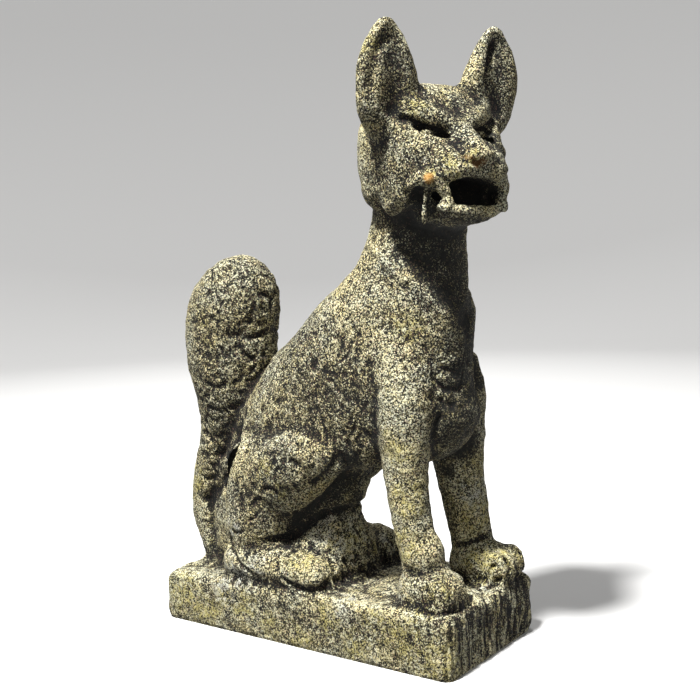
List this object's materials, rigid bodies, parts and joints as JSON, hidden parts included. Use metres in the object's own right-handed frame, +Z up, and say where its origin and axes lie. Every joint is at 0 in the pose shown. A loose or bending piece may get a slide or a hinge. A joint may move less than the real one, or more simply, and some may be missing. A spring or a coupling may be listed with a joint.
{
  "type": "inari fox statue",
  "caption": "Seated shrine fox carved in granite with its slab: head turned to its right, upright ears, open mouth, raised bushy tail.",
  "frame": {"origin": "middle of the slab's flat underside", "axes": "+Z up; the fox's body faces -Y, its right side is towards -X, and its head is turned towards -X"},
  "size_m": [0.1714, 0.3803, 0.5581],
  "materials": {
    "granite": "weathered, coarse pecked granite with lichen"
  },
  "bodies": {
    "root": {"fox_statue": "granite"}
  },
  "joints": []
}
